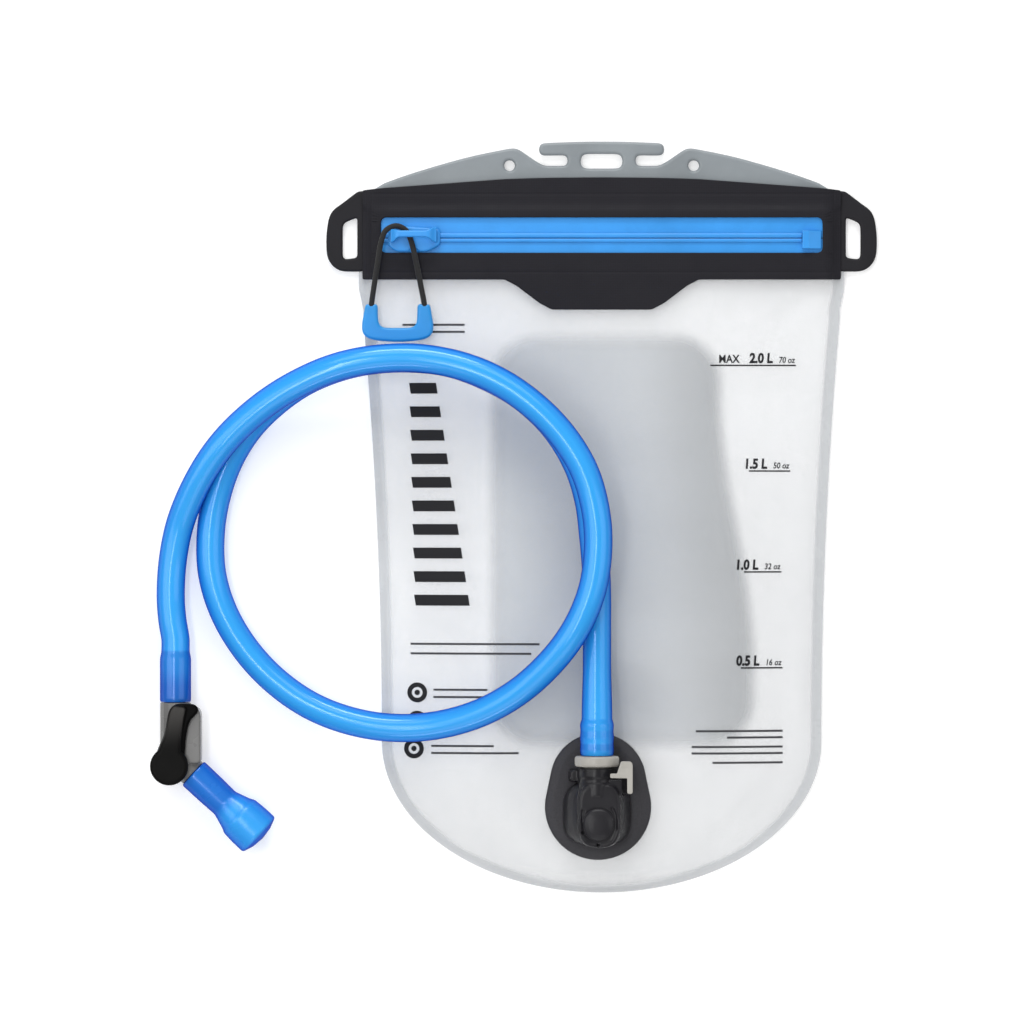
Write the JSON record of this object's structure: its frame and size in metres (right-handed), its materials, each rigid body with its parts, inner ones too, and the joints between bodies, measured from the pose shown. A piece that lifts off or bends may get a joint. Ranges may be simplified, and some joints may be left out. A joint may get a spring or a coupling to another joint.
{
  "type": "hydration bladder",
  "caption": "Two litre hydration bladder laid flat: clear welded bag with a slide zip and hanger, port, coiled drinking hose, shutoff valve and bite valve.",
  "frame": {"origin": "on the surface that the bladder lies on, under the middle of the bag with its loops and hanger", "axes": "+X to the right across the bag seen from its front, +Y towards the hanger, +Z out of the front face"},
  "size_m": [0.3493, 0.362, 0.0483],
  "materials": {
    "film": "milky clear film",
    "panel": "matte film",
    "band_fabric": "laminated fabric",
    "hanger": "satin moulded",
    "loop": "matte moulded",
    "zip": "satin moulded",
    "pull_cord": "braided",
    "pull_grip": "satin moulded",
    "port_black": "matte moulded",
    "warm_grey": "satin moulded",
    "steel": "drawn wire",
    "seal": "matte",
    "hose": "glossy translucent",
    "valve_grey": "satin moulded",
    "lever_black": "satin moulded",
    "bite_silicone": "satin silicone"
  },
  "bodies": {
    "bag": {"back_film": "film", "inner_panel": "panel", "front_film": "film", "rear_band": "band_fabric", "front_band": "band_fabric", "hanger_plate": "hanger", "side_loop_left": "loop", "side_loop_right": "loop", "zip_tape_upper": "zip", "zip_tape_lower": "zip", "zip_chain_upper": "zip", "zip_chain_lower": "zip", "zip_end_stop": "zip", "port_base": "port_black", "port_housing": "port_black", "port_cap": "port_black", "check_spring": "steel"},
    "slider": {"zip_slider": "zip", "slider_bridge": "zip"},
    "pull": {"pull_cord": "pull_cord", "pull_grip": "pull_grip"},
    "latch": {"latch_clip": "warm_grey"},
    "poppet": {"check_poppet": "warm_grey"},
    "hose_set": {"hose_plug": "warm_grey", "plug_seal": "seal", "hose_end_port": "hose", "hose": "hose", "hose_end_valve": "hose", "valve_body": "valve_grey"},
    "lever": {"valve_spool": "valve_grey", "shutoff_lever": "lever_black"},
    "bite": {"bite_valve": "bite_silicone"}
  },
  "joints": [
    {"name": "zip_slide", "type": "slide", "parent": "bag", "child": "slider", "axis": [1, 0, 0], "range_m": [0, 0.1735]},
    {"name": "pull_swing", "type": "hinge", "parent": "slider", "child": "pull", "pos_m": [-0.093, 0.136, 0.0135], "axis": [-1, 0, 0], "range_deg": [0, 165], "deforming": ["pull_cord"]},
    {"name": "latch_press", "type": "slide", "parent": "bag", "child": "latch", "axis": [-1, 0, 0], "range_m": [0, 0.0025], "stiffness_N_per_m": 600, "springref_m": -0.0005},
    {"name": "hose_unplug", "type": "slide", "parent": "bag", "child": "hose_set", "axis": [0, 1, 0], "range_m": [0, 0.0265]},
    {"name": "check_valve", "type": "slide", "parent": "bag", "child": "poppet", "axis": [0, 1, 0], "range_m": [0, 0.004]},
    {"name": "shutoff_turn", "type": "hinge", "parent": "hose_set", "child": "lever", "pos_m": [-0.2073, -0.1193, 0.0115], "axis": [0, 0, 1], "range_deg": [0, 90]},
    {"name": "bite_valve_pull", "type": "slide", "parent": "hose_set", "child": "bite", "axis": [0.7314, -0.682, 0], "range_m": [0, 0.016]}
  ],
  "couplings": [
    {"joint": "check_valve", "follows": "hose_unplug", "ratio": 0.15}
  ]
}
